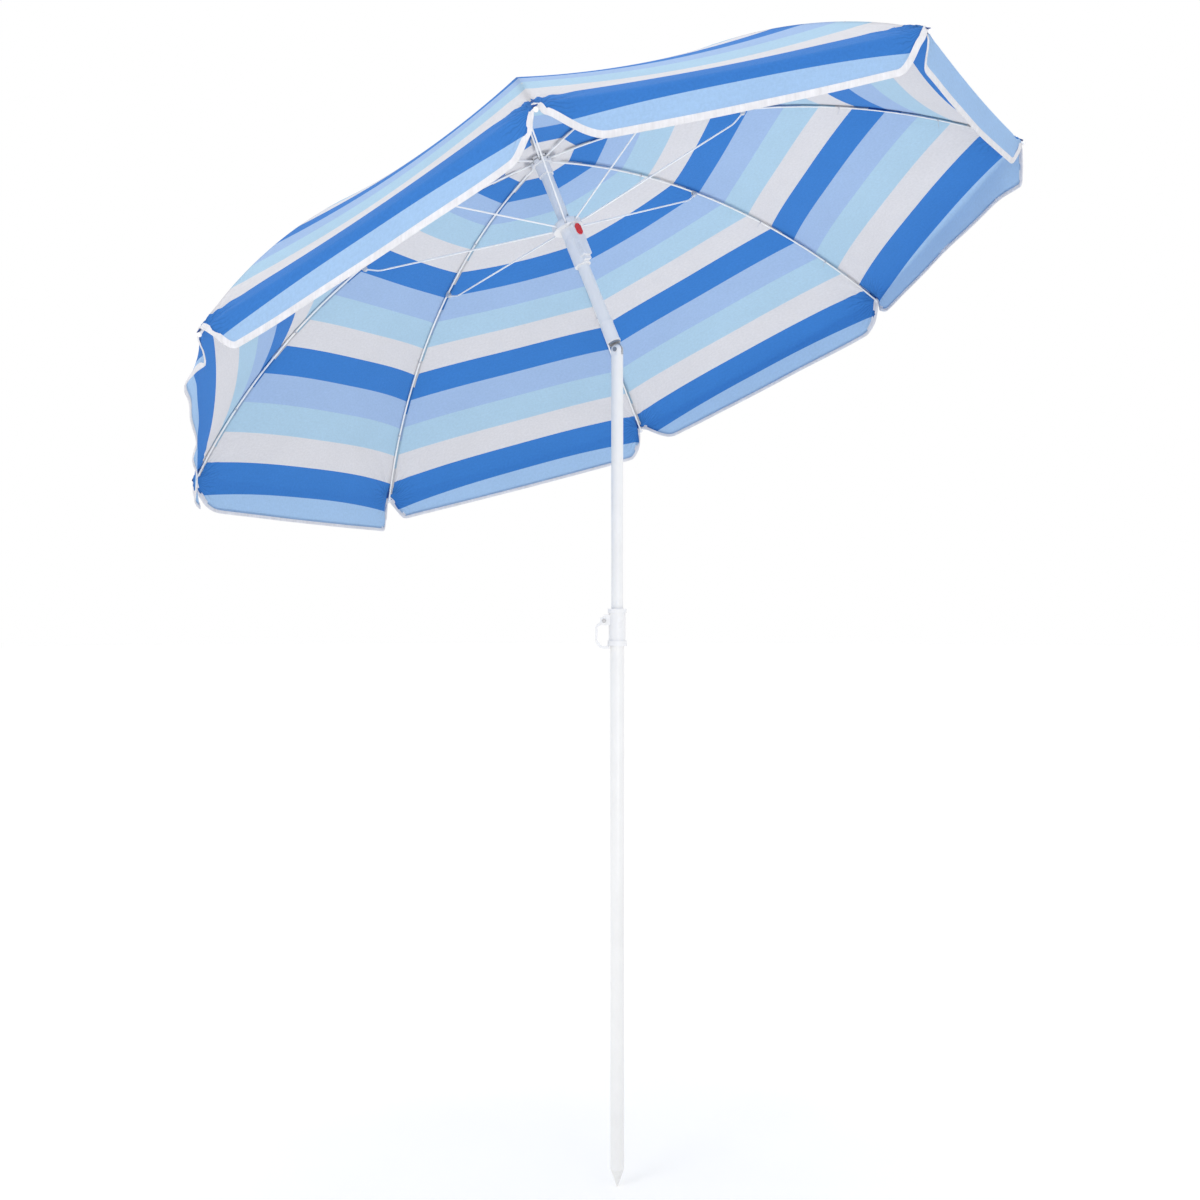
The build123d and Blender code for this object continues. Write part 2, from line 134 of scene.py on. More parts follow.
FLAPS = (
    Flap((0.054, 0.026, 0.4), (0.076, 0.024, 0.0), waves=0.001,
         bellies=((-0.70, 0.15, 0.030), (-0.38, 0.30, 0.024), (-0.95, 0.06, -0.024),
                  (0.20, 0.16, 0.012), (0.97, 0.08, -0.012))),
    Flap((0.070, 0.075, 0.0), (0.088, 0.034, 0.0)),
    Flap((0.064, 0.036, 0.5), (0.080, 0.036, 0.0)),
    Flap((0.066, 0.095, 0.6), (0.076, 0.050, 0.0)),
    Flap((0.056, 0.060, 0.0), (0.080, 0.040, 0.0), bellies=((0.90, 0.12, 0.016), (0.0, 1.2, -0.004)),
         drawn=(0.022, 0.034)),
    Flap((0.058, 0.045, 0.0), (0.064, 0.022, 0.1), upright=0.35, waves=0.001,
         bellies=((0.0, 2.0, -0.012),), drawn=(0.034, 0.030)),
    Flap((0.068, 0.060, 0.4), (0.070, 0.115, 0.5), waves=0.002),
    Flap((0.068, 0.055, 0.2), (0.068, 0.070, 0.8), waves=0.002),
)
BAND_EDGES = (0.0, 0.056, 0.20, 0.34, 0.46, 0.56, 0.66, 0.76, 0.87, 2.0)  # where a gore is split
NO_AREA = 1e-10  # in square metres

# --- stripes, which are woven straight across each panel -----------------------------------------
STRIPE_SPAN = 0.997  # length along a rib, which the next three are shares of
STRIPE_START, STRIPE_PITCH = 0.0794, 0.0733
STRIPE_BOW = 0.019  # how far the stripes are drawn towards the crown in the middle of a panel
STRIPES = ("white", "royal", "periwinkle", "aqua") * 3 + ("white", "royal", "light_blue")
DYES = {
    "white": (0.665, 0.665, 0.700),
    "royal": (0.046, 0.200, 0.570),
    "periwinkle": (0.340, 0.480, 0.725),
    "aqua": (0.400, 0.580, 0.735),
    "light_blue": (0.370, 0.550, 0.790),
}

# --- tape, seams, pockets and ties: the sizes ----------------------------------------------------
TAPE_OUTSIDE, TAPE_INSIDE, TAPE_HALF = 0.0105, 0.0060, 0.0009
TAPE_SECTION = (  # (distance into the cloth, distance outwards) round the folded tape
    (TAPE_OUTSIDE, TAPE_HALF), (TAPE_OUTSIDE * 0.5, TAPE_HALF * 1.5), (0.0012, TAPE_HALF * 1.5),
    (-0.0008, TAPE_HALF * 0.8), (-0.0008, -TAPE_HALF * 0.8), (0.0012, -TAPE_HALF * 1.5),
    (TAPE_INSIDE, -TAPE_HALF), (TAPE_INSIDE, -TAPE_HALF * 0.3), (0.0014, 0.0),
    (TAPE_OUTSIDE, TAPE_HALF * 0.3),
)
TAPE_TAPER = (-0.007, 0.012)  # the tape narrows to a rib's tip over these distances along the hem
TIE_RADII = (0.275, 0.600, 0.770)  # where the ties are on a rib
TIE_THREAD, TIE_TURNS = 0.00045, 3  # half the thread's thickness, and turns round the wire
SEAM_WIDTH = 0.0075
SEAM_SECTION = (  # (distance aside from the rib, distance outwards) round the folded seam
    (0.0004, -0.0006), (SEAM_WIDTH * 0.5, -0.0024), (SEAM_WIDTH * 0.9, -0.0050),
    (SEAM_WIDTH * 0.95, -0.0044), (0.0004, -0.0002),
)
SEAM_SHIFT = 0.45  # stripes by which the folded seam's colours lag behind the cloth's
SEAM_FIRST_ROW = 6
HEM_EVEN = 9  # columns over which the hem's outward normals are evened out
CREASE_SHADE_REACH, CREASE_SHADE_DARK = 0.075, 0.42  # how far the painted shade in the creases at a rib's tip reaches, and how dark it is
THREAD_SPACING = 0.0011  # of the weave
SHADE_BASE = 0.77  # the share of a dye's colour before the uneven shades are added
POUCH = (  # (place along the rib from its end, half width, half thickness, lift) of the tip's pouch
    (-0.030, 0.0034, 0.0008, 0.0031), (-0.020, 0.0042, 0.0009, 0.0031),
    (-0.010, 0.0050, 0.0010, 0.0034), (-0.002, 0.0052, 0.0010, 0.0042), (0.002, 0.0040, 0.0010, 0.0045),
)
PATCH_RINGS = (  # (radius, height over the cloth's line) of the crown patch
    (0.006, 0.0003), (0.019, 0.0003), (0.027, 0.0010), (0.034, 0.0012), (0.034, 0.0004), (0.006, 0.0001),
)


# --- where the frame is, from the record's joints ------------------------------------------------
joints = {joint["name"]: joint for joint in frame["joints"]}
RIVET = np.array(joints["tilt_hinge"]["pos_m"])
AXIS = unit(-np.array(joints["runner_slide"]["axis"]))
DOWN = np.array((0.0, 0.0, -1.0))
rib_hinges = [joints[f"rib_hinge_{n}"] for n in range(1, RIBS + 1)]
SPOKES = [unit(np.array(j["pos_m"]) - RIVET - CROWN_D * AXIS) for j in rib_hinges]
TANGENTS = [unit(np.array(j["axis"])) for j in rib_hinges]


def rib_profile(length, lift):
    """(radius, height) at that distance from the axis along a line that lies lift above a rib."""
    bow = RIB_ARC_R + lift
    turn = np.maximum(length - RIB_ARC_START, 0) / bow
    radius = np.minimum(length, RIB_ARC_START) + bow * np.sin(turn)
    return radius, CROWN_D - RIB_ARC_R + bow * np.cos(turn)


def cloth_on_rib(spoke, length):
    radius, height = rib_profile(length, CLOTH_LIFT)
    height = height + (CROWN_LIFT - CLOTH_LIFT) * (1 - smooth(*CROWN_LIE, radius))
    return RIVET + radius[..., None] * spoke + height[..., None] * AXIS


RIM_LENGTH = RIB_ARC_START + (RIB_ARC_R + CLOTH_LIFT) * np.arcsin(
    (RIM_R - HEM_INSIDE - RIB_ARC_START) / (RIB_ARC_R + CLOTH_LIFT)
)


# --- materials -----------------------------------------------------------------------------------
class Nodes:
    """A small helper that adds nodes to a material and links them."""

    def __init__(self, name):
        self.material = bpy.data.materials.new(name)
        self.material.use_nodes = True
        self.tree = self.material.node_tree
        self.shader = self.tree.nodes["Principled BSDF"]
        self.output = self.tree.nodes["Material Output"]

    def add(self, kind, **values):
        node = self.tree.nodes.new(kind)
        for key, value in values.items():
            setattr(node, key, value)
        return node

    def link(self, source, target):
        self.tree.links.new(source, target)

    def settings(self, node, **values):
        for key, value in values.items():
            node.inputs[key.replace("_", " ")].default_value = value
        return node

    def noise(self, vector, scale, detail=3.0, roughness=0.5):
        node = self.add("ShaderNodeTexNoise")
        self.settings(node, Scale=scale, Detail=detail, Roughness=roughness)
        self.link(vector, node.inputs["Vector"])
        return node.outputs["Fac"]

    def maths(self, operation, first, second):
        node = self.add("ShaderNodeMath", operation=operation)
        for socket, value in zip(node.inputs, (first, second)):
            if isinstance(value, (int, float)):
                socket.default_value = value
            else:
                self.link(value, socket)
        return node.outputs[0]

    def ramp(self, source, stops, interpolation="LINEAR"):
        node = self.add("ShaderNodeValToRGB")
        node.color_ramp.interpolation = interpolation
        elements = node.color_ramp.elements
        while len(elements) < len(stops):
            elements.new(0.5)
        for element, (place, colour) in zip(elements, stops):
            element.position = place
            element.color = (*colour, 1.0)
        self.link(source, node.inputs["Fac"])
        return node.outputs["Color"]

    def bump(self, height, strength, distance, base=None):
        node = self.add("ShaderNodeBump")
        self.settings(node, Strength=strength, Distance=distance)
        self.link(height, node.inputs["Height"])
        if base is not None:
            self.link(base, node.inputs["Normal"])
        return node.outputs["Normal"]


def grey(value):
    return (value, value, value)


def coated(name, tone, rough, grain, grain_depth, wear=0.04, metallic=0.0, coat=0.0):
    """A painted, plated or moulded surface: fine grain, cloudy gloss and slightly uneven colour."""
    nodes = Nodes(name)
    place = nodes.add("ShaderNodeTexCoord").outputs["Object"]
    cloud = nodes.noise(place, 14.0, 4.0)
    fine = nodes.noise(place, grain, 2.0)
    dull = tuple(c * (1 - wear) for c in tone)
    nodes.link(nodes.ramp(cloud, ((0.35, dull), (0.65, tone))), nodes.shader.inputs["Base Color"])
    gloss = nodes.ramp(cloud, ((0.3, grey(rough * 0.85)), (0.7, grey(rough * 1.15))))
    nodes.link(gloss, nodes.shader.inputs["Roughness"])
    nodes.link(nodes.bump(fine, 0.35, grain_depth), nodes.shader.inputs["Normal"])
    nodes.settings(nodes.shader, Metallic=metallic, Coat_Weight=coat)
    return nodes.material


def stripe_stops():
    """The colour ramp's stops: equal stripes, and the last one runs on over the flap."""
    count = len(STRIPES) + 1
    return [(k / count, DYES[dye]) for k, dye in enumerate(STRIPES)]


def tip_crease_shade(nodes, flat):
    """Painted shade in sharp creases that fan out from a rib's tip, from 0 to 1, by which the cloth's colour is
    darkened.
    """
    split = nodes.add("ShaderNodeSeparateXYZ")
    nodes.link(flat, split.inputs[0])
    aside = nodes.maths("ABSOLUTE", split.outputs["X"], 0.0)
    inward = nodes.maths("SUBTRACT", (1 - STRIPE_START) * STRIPE_SPAN, split.outputs["Y"])
    squares = [nodes.maths("MULTIPLY", value, value) for value in (aside, inward)]
    reach = nodes.maths("SQRT", nodes.maths("ADD", *squares), 0.0)
    fan = nodes.maths("MULTIPLY", nodes.maths("ARCTAN2", inward, aside), 19.0)
    bent = nodes.maths("ADD", fan, nodes.maths("MULTIPLY", nodes.noise(flat, 22.0, 2.0), 14.0))
    ridge = nodes.maths("SUBTRACT", 1.0, nodes.maths("ABSOLUTE", nodes.maths("SINE", bent, 0.0), 0.0))
    near = nodes.maths("SUBTRACT", 1.0, nodes.maths("DIVIDE", reach, CREASE_SHADE_REACH))
    near = nodes.maths("MAXIMUM", near, 0.0)
    return nodes.maths("MULTIPLY", nodes.maths("POWER", ridge, 2.5), near)


def cloth(name, colour_of, weave_depth=0.00025, through=0.30, tone=1.0, with_crease_shade=False):
    """Plain-woven polyester: crossing threads, slubs, a soft sheen and some light through it.

    The first UV axis runs across the panel and the second out from the crown, both in metres.
    """
    nodes = Nodes(name)
    flat = nodes.add("ShaderNodeUVMap", uv_map="cloth").outputs["UV"]
    split = nodes.add("ShaderNodeSeparateXYZ")
    nodes.link(flat, split.inputs[0])
    slubs = nodes.add("ShaderNodeMapping")
    slubs.inputs["Scale"].default_value = (30.0, 900.0, 1.0)
    nodes.link(flat, slubs.inputs["Vector"])
    slub = nodes.noise(slubs.outputs["Vector"], 1.0, 2.0)
    cloudy = nodes.noise(flat, 9.0, 4.0, 0.6)
    mottle = nodes.noise(flat, 170.0, 3.0, 0.7)
    shade = tone * SHADE_BASE
    for field, amount in ((slub, 0.10), (cloudy, 0.10), (mottle, 0.26)):
        shade = nodes.maths("ADD", nodes.maths("MULTIPLY", field, amount * tone), shade)
    # painted shade: the colour is darkened along the creases that fan out from each rib's tip
    if with_crease_shade:
        crease_shade_mask = tip_crease_shade(nodes, flat)
        shade = nodes.maths("SUBTRACT", shade, nodes.maths("MULTIPLY", crease_shade_mask, CREASE_SHADE_DARK))
    tint = nodes.add("ShaderNodeMix", data_type="RGBA", blend_type="MULTIPLY")
    tint.inputs["Factor"].default_value = 1.0
    nodes.link(colour_of(nodes), tint.inputs[6])
    nodes.link(shade, tint.inputs[7])
    colour = tint.outputs[2]
    nodes.link(colour, nodes.shader.inputs["Base Color"])
    threads = []
    for axis in ("X", "Y"):
        wave = nodes.maths("MULTIPLY", split.outputs[axis], tau / THREAD_SPACING)
        threads.append(nodes.maths("SINE", wave, 0.0))
    weave = nodes.maths("MULTIPLY", *threads)
    relief = nodes.maths("ADD", weave, nodes.maths("MULTIPLY", slub, 1.5))
    creases = nodes.bump(nodes.noise(flat, 26.0, 5.0, 0.65), 0.25, 0.004)
    normal = nodes.bump(relief, 0.4, weave_depth, creases)
    nodes.link(normal, nodes.shader.inputs["Normal"])
    nodes.settings(nodes.shader, Roughness=0.85, Sheen_Weight=0.06, Sheen_Roughness=0.4)
    nodes.settings(nodes.shader, **{"Specular IOR Level": 0.12})
    thin = nodes.add("ShaderNodeBsdfTranslucent")
    nodes.link(colour, thin.inputs["Color"])
    nodes.link(normal, thin.inputs["Normal"])
    mix = nodes.add("ShaderNodeMixShader")
    mix.inputs[0].default_value = through
    nodes.link(nodes.shader.outputs[0], mix.inputs[1])
    nodes.link(thin.outputs[0], mix.inputs[2])
    nodes.link(mix.outputs[0], nodes.output.inputs["Surface"])
    return nodes.material


def striped(nodes):
    """The colour at each place, from how far out it is, counted in stripes."""
    stripe = nodes.add("ShaderNodeAttribute", attribute_name="stripe").outputs["Fac"]
    place = nodes.maths("DIVIDE", nodes.maths("ADD", stripe, 1.0), len(STRIPES) + 1)
    return nodes.ramp(place, stripe_stops(), "CONSTANT")


def plain(tone):
    def colour_of(nodes):
        place = nodes.add("ShaderNodeTexCoord").outputs["Object"]
        dull = tuple(c * 0.9 for c in tone)
        return nodes.ramp(nodes.noise(place, 60.0), ((0.3, dull), (0.7, tone)))

    return colour_of


PAINT = coated("pole powder coat", grey(0.82), 0.34, 900.0, 0.0002, coat=0.2)
WIRE_PAINT = coated("wire epoxy coat", grey(0.90), 0.30, 1200.0, 0.0001, wear=0.08)
PLASTIC = coated("white moulded plastic", (0.81, 0.81, 0.82), 0.28, 1500.0, 0.0001, coat=0.1)
SPIKE = coated("spike plastic", (0.80, 0.80, 0.79), 0.50, 700.0, 0.0003, wear=0.10)
STEEL = coated("zinc plate", (0.46, 0.46, 0.47), 0.38, 600.0, 0.0002, wear=0.25, metallic=1.0)
BRACKET = coated("bracket coat", grey(0.72), 0.36, 900.0, 0.0002, wear=0.12)
RED = coated("red button plastic", (0.72, 0.018, 0.022), 0.22, 1500.0, 0.0001, coat=0.15)
TIP = coated("tip plastic", (0.84, 0.84, 0.86), 0.25, 1500.0, 0.0001, coat=0.2)
# the canopy cloth's colour holds painted shade in the creases at the ribs' tips
CANOPY = cloth("striped canopy cloth", striped, with_crease_shade=True)
# the seam cloth gets 0.88 of the canopy's colour: painted shade of the folded layers beside each rib
SEAM = cloth("striped seam cloth", striped, through=0.15, tone=0.88)
TAPE = cloth("hem tape", plain((0.84, 0.84, 0.88)), 0.0004, 0.15)
POCKET = cloth("pocket cloth", plain((0.030, 0.090, 0.330)), 0.0003, 0.10)
PATCH = cloth("crown patch cloth", plain(DYES["white"]), 0.0003, 0.15)
THREAD = coated("polyester thread", (0.62, 0.64, 0.70), 0.75, 2500.0, 0.0002, wear=0.2)

SLOT_MATERIALS = {
    "pole_paint": PAINT,
    "white_plastic": PLASTIC,
    "spike_plastic": SPIKE,
    "bare_steel": STEEL,
    "red_plastic": RED,
    "frame_paint": WIRE_PAINT,
    "bracket_steel": BRACKET,
    "tip_plastic": TIP,
    "canopy_cloth": PATCH,
}
for part in frame["record"]["subparts"]:
    node = frame["nodes"][part["node"]]
    node.data.materials.clear()
    node.data.materials.append(SLOT_MATERIALS[part["material_slot"]])


# --- meshes --------------------------------------------------------------------------------------
def piece(name, points, faces, material, uv=None, stripe=None, normals=None, crisp=False):
    """A smooth mesh object from arrays, with its UVs in metres and how many stripes out it is."""
    mesh = bpy.data.meshes.new(name)
    mesh.from_pydata(np.asarray(points).tolist(), [], [list(f) for f in faces])
    mesh.update()
    mesh.polygons.foreach_set("use_smooth", [True] * len(mesh.polygons))
    corners = np.zeros(len(mesh.loops), int)
    mesh.loops.foreach_get("vertex_index", corners)
    if uv is None:
        uv = np.asarray(points)[:, :2]
    layer = mesh.uv_layers.new(name="cloth")
    layer.data.foreach_set("uv", np.asarray(uv, np.float32)[corners].ravel())
    if stripe is not None:
        attribute = mesh.attributes.new("stripe", "FLOAT", "POINT")
        attribute.data.foreach_set("value", np.asarray(stripe, np.float32))
    if normals is not None:
        mesh.normals_split_custom_set_from_vertices(np.asarray(normals).tolist())
    if crisp:
        mesh.set_sharp_from_angle(angle=radians(55))
    mesh.materials.append(material)
    made = bpy.data.objects.new(name, mesh)
    bpy.context.scene.collection.objects.link(made)
    return made


def grid_faces(rows, columns, closed=False):
    """Quads over a grid; a closed grid's last column meets its first."""
    spans = columns if closed else columns - 1
    return [
        (r * columns + c, r * columns + (c + 1) % columns,
         (r + 1) * columns + (c + 1) % columns, (r + 1) * columns + c)
        for r in range(rows - 1)
        for c in range(spans)
    ]


def loft(name, sections, material):
    """A closed tube through equal rings of points, capped at both ends."""
    sections = np.asarray(sections)
    rows, columns = sections.shape[:2]
    faces = grid_faces(rows, columns, closed=True)
    faces.append(tuple(range(columns))[::-1])
    faces.append(tuple((rows - 1) * columns + c for c in range(columns)))
    return piece(name, sections.reshape(-1, 3), faces, material, crisp=True)


# --- the canopy's surface ------------------------------------------------------------------------
def across_values():
    """Places across a panel from -1 at one rib to 1 at the next, closer together near the ribs."""
    even = np.linspace(-1, 1, 2 * HALF_COLUMNS + 1)
    return 0.18 * even + 0.82 * np.sin(pi / 2 * even)


def length_values():
    """Distances from the axis, closer together at the crown and towards the hem."""
    hem = RIM_LENGTH - (RIM_LENGTH - HEM_ROWS_FROM) * np.linspace(1, 0, HEM_ROWS) ** 1.3
    return np.concatenate((CROWN_ROWS, np.arange(*MIDDLE_ROWS), hem))


ACROSS = across_values()
LENGTHS = length_values()


def tip_gathers(panel, across, length, span):
    """Fine pleats that fan out from each rib's tip, where the cloth is drawn into its pocket."""
    total = 0.0
    for side in (-1, 1):
        aside = span / 2 * (1 - side * across) + 0.002
        inward = RIM_LENGTH - length + 0.004
        reach = np.hypot(aside, inward)
        fan = np.arctan2(inward, aside)
        fade = smooth(0.004, 0.022, reach) * np.exp(-reach / GATHER_REACH)
        total = total + fade * np.sin(GATHER_PLEATS * fan + 1.9 * panel + side)
    return GATHER_DEPTH * total


def seam_ripples(panel, across, length, span):
    """Small waves along the seams, where the thread draws the cloth in."""
    total = 0.0
    long, short = (tau * length / ripple for ripple in RIPPLE_LENGTHS)
    for side in (-1, 1):
        aside = span / 2 * (1 - side * across)
        wave = np.sin(long + panel * 2.1 + side) + 0.6 * np.sin(short + panel)
        total = total + wave * smooth(0.001, 0.008, aside) * np.exp(-aside / RIPPLE_REACH)
    return RIPPLE_DEPTH * total * smooth(0.08, 0.2, length)


def panel_surface(panel):
    """The points, stripe counts and UVs of one panel with its flap, row by row from the crown."""
    near, far = SPOKES[panel], SPOKES[(panel + 1) % RIBS]
    on_near, on_far = cloth_on_rib(near, LENGTHS), cloth_on_rib(far, LENGTHS)
    share = ((1 + ACROSS) / 2)[None, :, None]
    points = on_near[:, None] * (1 - share) + on_far[:, None] * share
    span = np.linalg.norm(on_far - on_near, axis=1)[:, None]
    along = unit(np.gradient(points, axis=0))
    chord = unit(on_far[-1] - on_near[-1])
    out = unit(np.cross(np.broadcast_to(chord, along.shape), along))
    out = out * np.sign((out * AXIS).sum(-1, keepdims=True))
    length, across = LENGTHS[:, None], ACROSS[None, :]
    slack = smooth(0.05, 0.30, length) * (1 - 0.7 * smooth(0.86, RIM_LENGTH, length))
    rise = -SAG * span * (1 - across**2) * slack
    rise = rise + seam_ripples(panel, across, length, span) + tip_gathers(panel, across, length, span)
    points = points + out * rise[..., None]
    aside = span[-1] / 2 * (1 - np.abs(across))
    hood = np.exp(-((aside / HOOD_WIDTH) ** 2)) * smooth(RIM_LENGTH - HOOD_LENGTH, RIM_LENGTH, length)
    points = points + hood[..., None] * (HOOD * along + HOOD_RISE * out)

    bow = STRIPE_BOW * (1 - np.abs(ACROSS) ** 2.5)[None, :]
    drawn = np.interp(ACROSS, (-1, 1), FLAPS[panel].drawn)[None, :]
    share_out = length / STRIPE_SPAN + bow * smooth(0.3, 0.8, length)
    share_out = share_out + drawn * smooth(0.5, RIM_LENGTH, length)
    flap, depth = flap_surface(panel, points, along, chord, span[-1, 0])
    flap_share = share_out[-1:] + depth / STRIPE_SPAN
    stripe = (np.concatenate((share_out, flap_share)) - STRIPE_START) / STRIPE_PITCH
    half_span = np.concatenate((span, np.repeat(span[-1:], FLAP_ROWS, 0))) / 2
    across_metres = half_span * across
    out_metres = stripe * STRIPE_PITCH * STRIPE_SPAN
    return np.concatenate((points, flap)), stripe, np.stack((across_metres, out_metres), -1)


def flap_surface(panel, points, along, chord, span):
    """The flap turns down over the fold and hangs, swaying a little more the lower it is."""
    square = unit(DOWN - (DOWN @ chord) * chord)
    flap = FLAPS[panel]
    hang = unit(flap.upright * DOWN + (1 - flap.upright) * square)
    rim, leave = points[-1], along[-1]
    depth = flap.outline(ACROSS, span)[None, :] * np.arange(1, FLAP_ROWS + 1)[:, None] / FLAP_ROWS
    fold, place = [np.zeros_like(rim)], np.linspace(0, FOLD_LENGTH, FOLD_STEPS + 1)
    for k in range(FOLD_STEPS):
        turned = smooth(0, FOLD_LENGTH, (place[k] + place[k + 1]) / 2)
        fold.append(fold[-1] + unit((1 - turned) * leave + turned * hang) * (place[1] - place[0]))
    fold = np.array(fold)
    outwards = unit(np.cross(hang, chord))
    if outwards @ unit(rim[HALF_COLUMNS] - RIVET - CROWN_D * AXIS) < 0:
        outwards = -outwards
    rows, column = [], np.arange(len(rim))
    for deep in depth:
        spot = np.clip(deep / FOLD_LENGTH, 0, 1) * FOLD_STEPS
        low = np.minimum(spot.astype(int), FOLD_STEPS - 1)
        part = (spot - low)[:, None]
        bent = fold[low, column] * (1 - part) + fold[low + 1, column] * part
        below = np.maximum(deep - FOLD_LENGTH, 0)[:, None]
        sway = flap_sway(flap, panel, deep)[:, None]
        rows.append(rim + bent + below * hang + sway * outwards)
    return np.array(rows), depth


def flap_sway(flap, panel, deep):
    """Loose waves, its own for each flap, that grow towards the free edge."""
    free = (deep / max(end[0] for end in flap.ends)) ** 1.3 * (1 - np.abs(ACROSS) ** 40)
    wave = np.sin(pi * (1.2 * ACROSS + 0.37 * panel)) + 0.4 * np.sin(pi * (3.1 * ACROSS + 0.81 * panel))
    sway = flap.waves * wave
    for place, width, height in flap.bellies:
        sway = sway + height * np.exp(-(((ACROSS - place) / width) ** 2))
    return sway * free


def whole_surface():
    """All panels side by side as one grid with its normals; each rib's column is shared."""
    grids = [panel_surface(panel) for panel in range(RIBS)]
    points = np.concatenate([grid[0][:, :-1] for grid in grids], axis=1)
    beside = np.roll(points, -1, axis=1) - np.roll(points, 1, axis=1)
    rows = len(points)
    outward = np.empty_like(points)
    outward[1:-1] = points[2:] - points[:-2]
    outward[0], outward[-1] = points[1] - points[0], points[-1] - points[-2]
    flap_first = rows - FLAP_ROWS
    ribs = np.arange(RIBS) * 2 * HALF_COLUMNS
    outward[flap_first:, ribs] = outward[flap_first - 2, ribs]  # the flap has no depth at a rib's tip
    normals = unit(np.cross(outward, beside))
    normals *= np.sign((normals[len(CROWN_ROWS)] * AXIS).sum(-1).mean())
    return grids, points, normals


GRIDS, POINTS, NORMALS = whole_surface()
ROWS = len(POINTS)
FLAP_FIRST = ROWS - FLAP_ROWS
AROUND = POINTS.shape[1]


def finish_cloth(made, rib):
    """Lets a piece of cloth ride on its rib.
    """
    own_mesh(made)
    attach(made, f"rib_{rib + 1}")


def gore_columns(rib):
    """Columns from the middle of the panel before a rib to the middle of the one after it."""
    middle = rib * 2 * HALF_COLUMNS
    return np.arange(middle - HALF_COLUMNS, middle + HALF_COLUMNS + 1)


def column_data(which, column):
    """Stripe counts or UVs of a column that is counted around the whole canopy."""
    panel, place = divmod(int(column) % AROUND, 2 * HALF_COLUMNS)
    return GRIDS[panel][which][:, place]


def make_gore(rib):
    """The cloth on one rib, in bands that meet edge to edge, from the crown's foot to the flaps."""
    columns = gore_columns(rib)
    points = POINTS[:, columns % AROUND]
    normals = NORMALS[:, columns % AROUND]
    stripe = np.stack([column_data(1, c) for c in columns], axis=1)
    uv = np.stack([column_data(2, c) for c in columns], axis=1).copy()
    ahead = (np.arange(len(columns)) >= HALF_COLUMNS)[None, :]
    width = np.abs(uv[..., 0].min(axis=1, keepdims=True))
    uv[..., 0] = np.where(ahead, uv[..., 0] + width, uv[..., 0] - width)
    distance = np.concatenate((LENGTHS, np.full(FLAP_ROWS, RIM_LENGTH)))
    for band, (low, high) in enumerate(zip(BAND_EDGES, BAND_EDGES[1:]), 1):
        first = int(np.searchsorted(distance, low))
        last = ROWS - 1 if high > 1 else int(np.searchsorted(distance, high))
        rows = slice(first, last + 1)
        grid = points[rows].reshape(-1, 3)
        faces = grid_faces(last + 1 - first, len(columns))
        if high > 1:
            faces = [f for f in faces if not is_lost(f, grid)]
        sheet = piece(
            f"canopy_{rib + 1}_{band}", grid, faces, CANOPY, uv[rows].reshape(-1, 2),
            stripe[rows].ravel(), normals[rows].reshape(-1, 3),
        )
        if band == 1:
            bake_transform(sheet)
        else:
            finish_cloth(sheet, rib)
    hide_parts(f"canopy_gore_{rib + 1}")


def is_lost(face, grid):
    """Whether a face has no area, as at a flap's end where its rows come together."""
    a, b, c, d = (grid[i] for i in face)
    return np.linalg.norm(np.cross(c - a, d - b)) < NO_AREA


# --- tape, seams, pockets and ties ---------------------------------------------------------------
def hem_line(panel):
    """The flap's free edge from rib to rib, its outward normals and the way back into the cloth."""
    start = panel * 2 * HALF_COLUMNS
    columns = np.arange(start, start + 2 * HALF_COLUMNS + 1) % AROUND
    edge = POINTS[-1, columns].copy()
    edge[0], edge[-1] = POINTS[FLAP_FIRST - 1, columns[0]], POINTS[FLAP_FIRST - 1, columns[-1]]
    run = unit(np.gradient(edge, axis=0))
    outward = NORMALS[FLAP_FIRST + FLAP_ROWS // 2, columns]
    ends = HEM_EVEN // 2
    inner = outward[ends:-ends]
    before, after = (np.repeat(end, 2 * ends, 0) for end in (inner[:1], inner[-1:]))
    padded = np.concatenate((before, inner, after))
    outward = sum(padded[k:k + len(edge)] for k in range(HEM_EVEN))
    outward = unit(outward - (outward * run).sum(-1, keepdims=True) * run)
    into = np.cross(outward, run)
    middle = POINTS[FLAP_FIRST + 3, columns[HALF_COLUMNS]]
    into *= np.sign(into[HALF_COLUMNS] @ (middle - edge[HALF_COLUMNS]))
    return edge, outward, into


def make_tape(panel):
    """White binding folded over the hem, wider outside than inside, in two halves."""
    edge, outward, into = hem_line(panel)
    so_far = np.concatenate(((0,), np.cumsum(np.linalg.norm(np.diff(edge, axis=0), axis=1))))
    taper = smooth(*TAPE_TAPER, np.minimum(so_far, so_far[-1] - so_far))[:, None]
    rings = np.stack([edge + into * b * taper + outward * n for b, n in TAPE_SECTION], axis=1)
    for rib, rows, end in (
        (panel, slice(0, HALF_COLUMNS + 1), "a"),
        ((panel + 1) % RIBS, slice(HALF_COLUMNS, 2 * HALF_COLUMNS + 1), "b"),
    ):
        tape = loft(f"hem_tape_{panel + 1}{end}", rings[rows], TAPE)
        finish_cloth(tape, rib)


